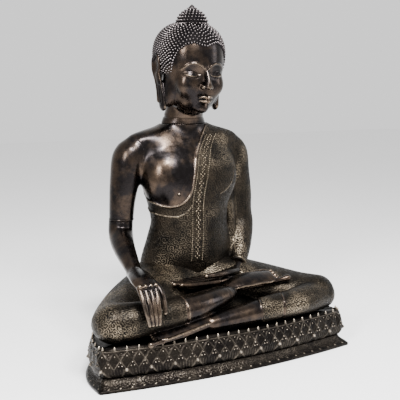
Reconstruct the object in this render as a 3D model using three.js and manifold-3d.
// A seated bronze figure on a two-tier lotus plinth: hollow castings, bolted and pinned together.
// Millimetres, +Z up, the figure faces -Y. The origin is under the middle of the plinth.
import * as THREE from 'three';
import { mergeVertices } from 'three/addons/utils/BufferGeometryUtils.js';
import Module from 'manifold-3d';

const wasm = await Module();
wasm.setup();

// ---- driving dimensions ----
const HEIGHT = 750; // plinth foot to the finial's tip
const FOOT_HALF_WIDTH = 302;
const FOOT_FRONT = -155; // middle of the bowed front edge
const FOOT_BACK = 155;
const FRONT_BOW = 25; // how far the front's middle stands ahead of its corners
const ROUND_BACK_START = -98; // where the straight sides turn into the round back
const DECK = 78; // top of the plinth, where the figure sits
const TIER_JOINT = 23; // groove between the two tiers
const WALL = 5; // thickness of the castings
const GAP = 0.3; // clearance between neighbouring pieces
const STUD_X = 150; // the two clamping studs stand left and right of the middle
const STUD_Y = 8;
const STUD_RADIUS = 5;
const STUD_FOOT = 4;
const STUD_TOP = 112;
const HEAD_JOINT = 496; // collar seam at the foot of the neck
const ELBOW_JOINT = 289; // casting joint above the right elbow
const DOWEL_RADIUS = 2.5;
const ELBOW = [-152, 100]; // axis of the right arm where its castings meet

const UP = new THREE.Vector3(0, 0, 1);
const FRONT = new THREE.Vector3(0, -1, 0);

// ---- materials ----
const bronze = (color, roughness) => new THREE.MeshStandardMaterial({ color, roughness, metalness: 1 });
const skinBronze = bronze(0x2b2420, 0.35);
const robeBronze = bronze(0x3a3024, 0.5);
const hairBronze = bronze(0x2c2621, 0.5);
const plinthBronze = bronze(0x30281f, 0.5);
const steel = new THREE.MeshStandardMaterial({ color: 0x8c8f92, roughness: 0.4, metalness: 1 });

// ---- helpers ----
const at = (x, y, z) => new THREE.Vector3(x, y, z);
const mirrored = (points) => points.map(([x, ...rest]) => [-x, ...rest]);

/** A closed three.js geometry as a solid that can be joined and cut. */
function solid(geometry) {
  const plain = geometry.clone();
  plain.deleteAttribute('normal');
  plain.deleteAttribute('uv');
  const merged = mergeVertices(plain, 1e-4);
  const vertProperties = new Float32Array(merged.getAttribute('position').array);
  const triVerts = new Uint32Array(merged.getIndex().array);
  return new wasm.Manifold(new wasm.Mesh({ numProp: 3, vertProperties, triVerts }));
}

const join = (...solids) => solids.reduce((sum, next) => sum.add(next));

/** A solid as a named mesh in the scene. */
function piece(name, shape, material) {
  const { vertProperties, triVerts } = shape.getMesh();
  const geometry = new THREE.BufferGeometry();
  geometry.setAttribute('position', new THREE.BufferAttribute(vertProperties, 3));
  geometry.setIndex(new THREE.BufferAttribute(triVerts, 1));
  geometry.computeVertexNormals();
  const mesh = new THREE.Mesh(geometry, material);
  mesh.name = name;
  return mesh;
}

/** Bends a unit cylinder: place(turn, along, out) says where each of its points goes. */
function bentCylinder(sides, steps, place) {
  const shape = new THREE.CylinderGeometry(1, 1, 1, sides, steps);
  const points = shape.getAttribute('position');
  for (let i = 0; i < points.count; i++) {
    const turn = Math.atan2(points.getX(i), points.getZ(i));
    const out = Math.round(Math.hypot(points.getX(i), points.getZ(i)));
    const p = place(turn, points.getY(i) + 0.5, out);
    points.setXYZ(i, p.x, p.y, p.z);
  }
  return solid(shape);
}

/**
 * A limb with oval sections along a smooth path. Each station is [x, y, z, half width, half depth];
 * depth is measured towards `depthAxis`. `grow` fattens it, `round` says which of its ends are round
 * and `roundSpan` over what share of its length, and `reach` pushes its flat ends outwards, which is
 * how a hollow is opened.
 */
function limb(stations, options = {}) {
  const { sides = 14, steps = 7, depthAxis = UP, grow = 0, round = '', roundSpan = 0.3, reach = 0 } = options;
  const path = new THREE.CatmullRomCurve3(stations.map(([x, y, z]) => at(x, y, z)));
  const sizes = new THREE.CatmullRomCurve3(stations.map(([, , , a, b]) => at(a, b, 0)));
  const smallest = 0.2;
  return bentCylinder(sides, steps, (turn, along, out) => {
    const bothRound = round === 'both';
    let t = along;
    if (bothRound) t = (1 - Math.cos(Math.PI * along)) / 2;
    else if (round === 'end') t = Math.sin((Math.PI / 2) * along);
    else if (round === 'start') t = 1 - Math.cos((Math.PI / 2) * along);
    const tangent = path.getTangent(t);
    const deep = depthAxis.clone().addScaledVector(tangent, -depthAxis.dot(tangent)).normalize();
    const wide = tangent.clone().cross(deep);
    const size = sizes.getPoint(t);
    const fromEnd = Math.min(round && round !== 'end' ? t : 1, round && round !== 'start' ? 1 - t : 1);
    const shrink = fromEnd < roundSpan ? Math.sqrt(1 - (1 - fromEnd / roundSpan) ** 2) : 1;
    const scale = out * Math.max(smallest, shrink);
    const end = along === 0 ? -reach : along === 1 ? reach : 0;
    return path.getPoint(t)
      .addScaledVector(tangent, end)
      .addScaledVector(wide, scale * (size.x + grow) * Math.sin(turn))
      .addScaledVector(deep, scale * (size.y + grow) * Math.cos(turn));
  });
}

/** A straight round bar between two points. */
function bar(from, to, radius, sides = 12) {
  const axis = to.clone().sub(from);
  const shape = new THREE.CylinderGeometry(radius, radius, axis.length(), sides);
  shape.applyQuaternion(new THREE.Quaternion().setFromUnitVectors(at(0, 1, 0), axis.clone().normalize()));
  shape.translate(...from.clone().add(to).multiplyScalar(0.5));
  return solid(shape);
}

/** An upright box given by its lowest and highest corners. */
function block(low, high) {
  const size = high.clone().sub(low);
  const shape = new THREE.BoxGeometry(size.x, size.y, size.z);
  shape.translate(...low.clone().add(high).multiplyScalar(0.5));
  return solid(shape);
}

/** An oval ball. */
function ball(centre, radii, across = 20, down = 12) {
  const shape = new THREE.SphereGeometry(1, across, down);
  shape.rotateX(Math.PI / 2);
  shape.scale(radii.x, radii.y, radii.z);
  shape.translate(centre.x, centre.y, centre.z);
  return solid(shape);
}

/** A turned shape about a vertical axis; the profile starts and ends on that axis. */
function turned(profile, x, y, sides = 20) {
  const shape = new THREE.LatheGeometry(profile.map(([r, z]) => new THREE.Vector2(r, z)), sides);
  shape.rotateX(Math.PI / 2);
  shape.translate(x, y, 0);
  return solid(shape);
}

/** The part of a solid between two heights. */
const between = (shape, low, high) => shape.intersect(block(at(-400, -400, low), at(400, 400, high)));

// ---- plinth ----
/** The plinth's plan: bowed front, rounded corners, round back, drawn in by `inset`. */
function planOutline(inset, cornerRadius) {
  const w = FOOT_HALF_WIDTH - inset;
  const front = FOOT_FRONT + inset;
  const corner = front + FRONT_BOW;
  const bowEnd = w - cornerRadius;
  const plan = new THREE.Shape();
  plan.moveTo(0, front);
  plan.quadraticCurveTo(bowEnd / 2, front, bowEnd, corner);
  plan.quadraticCurveTo(w, corner, w, corner + cornerRadius);
  plan.lineTo(w, ROUND_BACK_START);
  plan.absellipse(0, ROUND_BACK_START, w, FOOT_BACK - inset - ROUND_BACK_START, 0, Math.PI);
  plan.lineTo(-w, corner + cornerRadius);
  plan.quadraticCurveTo(-w, corner, -bowEnd, corner);
  plan.quadraticCurveTo(-bowEnd / 2, front, 0, front);
  return plan;
}

/** Stacks the plan at several heights; each level is [height, inset, corner radius]. */
function tier(levels, sides = 48) {
  const rings = levels.map(([z, inset, corner]) => {
    const points = planOutline(inset, corner).getSpacedPoints(sides);
    return points.map((p) => at(p.x, p.y, z));
  });
  return bentCylinder(sides, levels.length - 1, (turn, along, out) => {
    const ring = rings[Math.round(along * (levels.length - 1))];
    const point = ring[(Math.round((turn / (2 * Math.PI)) * sides) + sides) % sides];
    return out ? point.clone() : at(0, 0, point.z);
  });
}

const studHoles = (low, high) =>
  join(...[-STUD_X, STUD_X].map((x) => bar(at(x, STUD_Y, low), at(x, STUD_Y, high), STUD_RADIUS + GAP)));

function lowerPlinth() {
  const flange = 17;
  const skin = tier([[0, 0, 9], [5, 0, 9], [9, 6, 11], [15, 12.5, 14], [TIER_JOINT - GAP, 16, 16]]);
  const hollow = tier([[-1, 7, 9], [5, 7, 9], [10, 18, 12], [flange, 23, 14]]);
  const mouth = tier([[flange - 1, 46, 14], [TIER_JOINT + 1, 46, 14]]);
  return skin.subtract(hollow).subtract(mouth);
}

function upperPlinth() {
  const skin = tier([[TIER_JOINT, 16, 16], [28, 10.5, 20], [37, 6.5, 22], [50, 5.5, 24], [63, 8, 24],
    [72, 11.5, 24], [DECK, 12, 24]]);
  const hollow = tier([[TIER_JOINT - 1, 23, 16], [37, 13, 22], [63, 15, 24], [DECK - 7, 22, 24]]);
  const deckOpening = ball(at(0, 10, DECK - 3), at(110, 70, 40));
  return skin.subtract(hollow).subtract(deckOpening).subtract(studHoles(0, 2 * DECK));
}

// ---- figure: stations are [x, y, z, half width, half depth] ----
const TORSO = [[0, 84, 190, 110, 62], [0, 76, 235, 99, 61], [0, 70, 282, 90, 59], [0, 74, 330, 97, 62],
  [0, 80, 376, 112, 67], [0, 87, 418, 122, 66], [0, 94, 447, 112, 54], [0, 97, 468, 78, 44],
  [0, 97, 486, 54, 41], [0, 96, HEAD_JOINT + 10, 46, 41]];
const RIGHT_UPPER_ARM = [[-122, 102, 460, 33, 31], [-133, 101, 424, 34, 36], [-142, 100, 380, 32, 33],
  [-149, 100, 330, 28, 29], [...ELBOW, ELBOW_JOINT - 5, 26, 27]];
const RIGHT_FOREARM = [[...ELBOW, ELBOW_JOINT + 8, 26, 27], [-155, 91, 262, 25, 26], [-163, 50, 240, 22, 24],
  [-175, -2, 216, 18, 18], [-181, -32, 201, 15, 13]];
const RIGHT_PALM = [[-181, -30, 201, 15, 13], [-187, -62, 203, 22, 13], [-194, -98, 201, 24, 11],
  [-195, -118, 192, 21, 9]];
const RIGHT_FINGERS = [-17.5, -6, 5.5, 16.5].map((side) => [[-195 + side, -116, 194, 6.5, 6],
  [-196 + 0.85 * side, -138, 168, 5.8, 5.5], [-194 + 0.62 * side, -145, 126, 4.6, 4.5]]);
const RIGHT_THUMB = [[-174, -78, 200, 9, 9], [-164, -106, 184, 7.5, 7.5], [-162, -132, 144, 5, 5]];
const LEFT_ARM = [[118, 102, 460, 33, 31], [131, 101, 424, 33, 36], [139, 100, 380, 31, 33],
  [147, 100, 330, 30, 30], [149, 100, 288, 29, 29], [150, 92, 256, 28, 28], [132, 64, 216, 24, 24],
  [108, 36, 184, 20, 19], [96, 22, 174, 19, 18]];
const LEFT_PALM = [[102, 28, 178, 12, 10], [84, 10, 169, 18, 11], [44, -6, 164, 29, 11],
  [8, -12, 163, 29, 9]];
const LEFT_FINGERS = [-23, -8, 7, 21].map((side) => [
  [22, -10 + side, 163, 7.5, 7.5], [-34, -15 + 0.9 * side, 163, 6.5, 6.5],
  [-84, -18 + 0.75 * side, 167, 5, 5]]);
const LEFT_THUMB = [[62, -28, 172, 9, 8], [26, -40, 178, 8, 7], [-16, -34, 178, 6, 6]];
const THIGH = [[30, 92, 150, 72, 62], [96, 50, 136, 72, 54], [158, 4, 126, 66, 46], [214, -42, 119, 54, 40],
  [258, -80, 117, 45, 39], [284, -100, 117, 40, 36]];
const LOWER_SHIN = [[274, -72, 112, 40, 34], [180, -102, 112, 34, 29], [90, -114, 111, 27, 25],
  [10, -116, 106, 23, 20], [-66, -114, 100, 20, 16]];
const UPPER_SHIN = [[-274, -72, 116, 42, 38], [-175, -96, 126, 36, 32], [-80, -96, 134, 31, 27],
  [0, -76, 142, 27, 22], [60, -54, 147, 22, 15]];
const UPPER_FOOT = [[14, -54, 152, 16, 10], [58, -48, 154, 24, 10], [104, -42, 155, 26, 9],
  [150, -37, 153, 22, 8], [200, -34, 148, 14, 8]];
const LOWER_FOOT = [[-30, -108, 104, 16, 12], [-80, -115, 103, 20, 12], [-130, -122, 97, 20, 10],
  [-176, -128, 92, 18, 9], [-204, -134, 89, 12, 8]];
const NECK = [[0, 97, HEAD_JOINT - 12, 50, 42], [0, 96, HEAD_JOINT + 8, 45, 42], [0, 92, 522, 42, 40],
  [0, 84, 548, 40, 40], [0, 80, 580, 40, 40]];
const FACE = [[0, 36, 520, 20, 26], [0, 44, 534, 38, 42], [0, 54, 562, 54, 56], [0, 62, 600, 63, 66],
  [0, 66, 640, 66, 72], [0, 70, 676, 62, 68], [0, 74, 700, 44, 48]];
const CROWN = at(0, 56, 703); // where the ushnisha sits on the head
const DOME_TOP = 737; // top of the ushnisha, under the finial
const FINIAL_FOOT = 728; // lower end of the finial's peg
const PEG_RADIUS = 5;

const boneRound = { round: 'both', sides: 12 };
const straightUp = { depthAxis: FRONT };
const finger = { sides: 6, steps: 4, round: 'end' };
const fingers = (list, grow) => list.map((stations) => limb(stations, { ...finger, grow }));
const upperArm = (grow, reach) => limb(RIGHT_UPPER_ARM, { ...straightUp, round: 'start', grow, reach });
const shoulderRound = { round: 'start', roundSpan: 0.15 };
const leftArm = (grow, reach) => limb(LEFT_ARM, { ...straightUp, ...shoulderRound, steps: 10, grow, reach });
const shoulderBores = join(...[-1, 1].map((s) => bar(at(s * 136, 101, 424), at(s * 92, 96, 428), 12)));

function rightHand(grow = 0) {
  const palm = limb(RIGHT_PALM, { sides: 10, steps: 4, grow });
  return join(palm, ...fingers([...RIGHT_FINGERS, RIGHT_THUMB], grow));
}

function leftHand(grow = 0) {
  const palm = limb(LEFT_PALM, { sides: 10, steps: 4, grow });
  return join(palm, ...fingers([...LEFT_FINGERS, LEFT_THUMB], grow));
}

function torso() {
  const skin = limb(TORSO, { ...straightUp, sides: 24, steps: 12 });
  const hollow = limb(TORSO, { ...straightUp, sides: 12, grow: -2 * WALL, reach: 2 * WALL });
  const arms = join(upperArm(GAP, GAP), leftArm(GAP, GAP));
  const neckSocket = bar(at(0, 96, HEAD_JOINT - 24), at(0, 96, HEAD_JOINT + 1), 34 + GAP, 20);
  return between(skin, 0, HEAD_JOINT - GAP).subtract(hollow).subtract(arms).subtract(neckSocket)
    .subtract(shoulderBores).subtract(dowels(GAP));
}

function lap() {
  const thighs = (options) => join(limb(THIGH, options), limb(mirrored(THIGH), options));
  const bones = [LOWER_SHIN, UPPER_SHIN, UPPER_FOOT, LOWER_FOOT].map((stations) => limb(stations, boneRound));
  const filling = ball(at(0, -20, 96), at(182, 86, 32), 14, 8);
  const hips = ball(at(0, 86, 148), at(132, 56, 80), 16, 10);
  const legs = join(thighs({ ...boneRound, sides: 14, roundSpan: 0.2 }), hips, filling, ...bones);
  const skin = between(legs, DECK + GAP, HEIGHT);
  const cavity = ball(at(0, 82, 140), at(118, 46, 80), 12, 8);
  const legCavities = thighs({ round: 'both', sides: 8, steps: 4, roundSpan: 0.2, grow: -2 * WALL });
  const bosses = join(...[-STUD_X, STUD_X].map((x) => bar(at(x, STUD_Y, DECK), at(x, STUD_Y, 130), 13, 10)));
  const body = limb(TORSO, { ...straightUp, sides: 24, steps: 12, grow: GAP, reach: GAP });
  return skin.subtract(join(cavity, legCavities).subtract(bosses)).subtract(between(body, 180, 300))
    .subtract(studHoles(DECK, STUD_TOP + 2)).subtract(rightHand(GAP)).subtract(leftHand(GAP))
    .subtract(rightForearmSkin(GAP)).subtract(leftArm(GAP, GAP));
}

function rightForearmSkin(grow) {
  return between(limb(RIGHT_FOREARM, { ...straightUp, grow }), 0, ELBOW_JOINT + grow);
}

function rightForearm() {
  const spigot = bar(at(...ELBOW, ELBOW_JOINT - 6), at(...ELBOW, ELBOW_JOINT + 14), 16, 16);
  const hollow = bar(at(...ELBOW, ELBOW_JOINT - 16), at(...ELBOW, ELBOW_JOINT + 16), 11, 16);
  return join(rightForearmSkin(0), rightHand(), spigot).subtract(hollow).subtract(dowels(GAP));
}

function rightUpperArm() {
  const inside = { sides: 10, steps: 5, round: 'start', grow: -2 * WALL, reach: 2 };
  const hollow = limb(RIGHT_UPPER_ARM, { ...straightUp, ...inside });
  const socket = bar(at(...ELBOW, ELBOW_JOINT - 1), at(...ELBOW, ELBOW_JOINT + 15), 16 + GAP, 16);
  return between(upperArm(0, 0), ELBOW_JOINT + GAP, HEIGHT).subtract(hollow).subtract(shoulderBores)
    .subtract(socket).subtract(dowels(GAP));
}

const WRIST = at(97, 23, 174.5); // where the left cuff's flat end is
const WRIST_AXIS = at(-0.6, -0.7, -0.45).normalize();
const alongWrist = (distance) => WRIST.clone().addScaledVector(WRIST_AXIS, distance);

function leftSleeve() {
  const hollow = limb(LEFT_ARM, { ...straightUp, sides: 10, round: 'start', grow: -2 * WALL, reach: 2 });
  return leftArm(0, 0).subtract(hollow).subtract(shoulderBores).subtract(leftPalmPiece(GAP));
}

function leftPalmPiece(grow = 0) {
  return join(leftHand(grow), bar(alongWrist(-16), alongWrist(8), 8 + grow, 12));
}

// ---- dowels: [name, one end, other end] ----
const DOWELS = [
  ['neck_dowel_left', at(28, 96, HEAD_JOINT - 8), at(44, 96, HEAD_JOINT - 8)],
  ['neck_dowel_right', at(-28, 96, HEAD_JOINT - 8), at(-44, 96, HEAD_JOINT - 8)],
  ['elbow_dowel', at(-152, 84, ELBOW_JOINT + 8), at(-152, 76, ELBOW_JOINT + 8)],
];

function dowels(grow) {
  return join(...DOWELS.map(([, from, to]) => bar(from, to, DOWEL_RADIUS + grow, 10)));
}

// ---- head ----
function head() {
  const face = limb(FACE, { ...straightUp, round: 'both', roundSpan: 0.2, sides: 20, steps: 12 });
  const neck = limb(NECK, { ...straightUp, sides: 18, steps: 5 });
  const hair = ball(at(0, 70, 643), at(74, 81, 73), 20, 12);
  const browCut = solid(new THREE.BoxGeometry(170, 90, 150).rotateX(-0.32).translate(0, 2, 598));
  const slim = { ...straightUp, sides: 8, round: 'both' };
  const ears = [-1, 1].map((s) => limb([[s * 71, 76, 648, 7, 10], [s * 73, 78, 616, 7, 14],
    [s * 70, 73, 584, 6, 11], [s * 66, 68, 530, 7, 13]], { ...slim, steps: 6 }));
  const nose = limb([[0, 0, 624, 5, 6], [0, -4, 600, 6, 8], [0, -7, 584, 10, 10], [0, 0, 576, 8, 8]],
    { ...slim, steps: 5 });
  const spigot = bar(at(0, 96, HEAD_JOINT - 22), at(0, 96, HEAD_JOINT + 4), 34, 20);
  const bore = bar(at(0, 96, HEAD_JOINT - 23), at(0, 88, HEAD_JOINT + 40), 26, 16);
  const core = ball(at(0, 70, 612), at(50, 54, 72), 16, 10);
  const crownSeat = bar(CROWN.clone().setZ(680), CROWN.clone().setZ(760), 21.5, 16);
  const crownPlane = block(at(-60, 0, CROWN.z - 2), at(60, 130, 760));
  return join(face, between(neck, HEAD_JOINT, HEIGHT), hair.subtract(browCut), ...ears, nose, spigot)
    .subtract(join(core, bore)).subtract(crownSeat).subtract(crownPlane).subtract(dowels(GAP));
}

function ushnisha() {
  const foot = CROWN.z - 2 + GAP;
  const socketFloor = FINIAL_FOOT - GAP;
  return turned([[0, foot + 12], [14, foot + 8], [14, 686], [20, 686], [20, foot], [37, foot],
    [36, 709], [33, 718], [25, 728], [14, 735], [PEG_RADIUS + GAP, DOME_TOP], [PEG_RADIUS + GAP, socketFloor],
    [0, socketFloor]], CROWN.x, CROWN.y, 24);
}

function finial() {
  const seat = DOME_TOP + GAP;
  return turned([[0, FINIAL_FOOT], [PEG_RADIUS, FINIAL_FOOT], [PEG_RADIUS, seat], [9, seat], [8, 741],
    [4, 745], [0, HEIGHT]], CROWN.x, CROWN.y, 24);
}

// ---- clamping hardware ----
function strap(x) {
  const bearing = 17 - GAP;
  const flat = block(at(x - 15, -122, bearing - 6), at(x + 15, 84, bearing));
  return flat.subtract(studHoles(0, DECK));
}

const stud = (x) => bar(at(x, STUD_Y, STUD_FOOT), at(x, STUD_Y, STUD_TOP), STUD_RADIUS, 16);
const ring = (x, low, high, outer, sides) =>
  bar(at(x, STUD_Y, low), at(x, STUD_Y, high), outer, sides)
    .subtract(bar(at(x, STUD_Y, low - 1), at(x, STUD_Y, high + 1), STUD_RADIUS + GAP, 16));

// ---- the assembly ----
const figure = new THREE.Group();
figure.add(
  piece('lower_plinth', lowerPlinth(), plinthBronze),
  piece('upper_plinth', upperPlinth(), plinthBronze),
  piece('lap', lap(), robeBronze),
  piece('torso', torso(), robeBronze),
  piece('right_upper_arm', rightUpperArm(), skinBronze),
  piece('right_forearm', rightForearm(), skinBronze),
  piece('left_arm', leftSleeve(), robeBronze),
  piece('left_hand', leftPalmPiece(), skinBronze),
  piece('head', head(), skinBronze),
  piece('ushnisha', ushnisha(), hairBronze),
  piece('finial', finial(), hairBronze),
);
for (const [side, x] of [['left', STUD_X], ['right', -STUD_X]]) {
  figure.add(
    piece(`stud_${side}`, stud(x), steel),
    piece(`strap_${side}`, strap(x), steel),
    piece(`washer_${side}`, ring(x, 8.7, 10.4, 10, 20), steel),
    piece(`nut_${side}`, ring(x, 0.8, 8.4, 9, 6), steel),
  );
}
for (const [name, from, to] of DOWELS) figure.add(piece(name, bar(from, to, DOWEL_RADIUS, 10), steel));

export default figure;
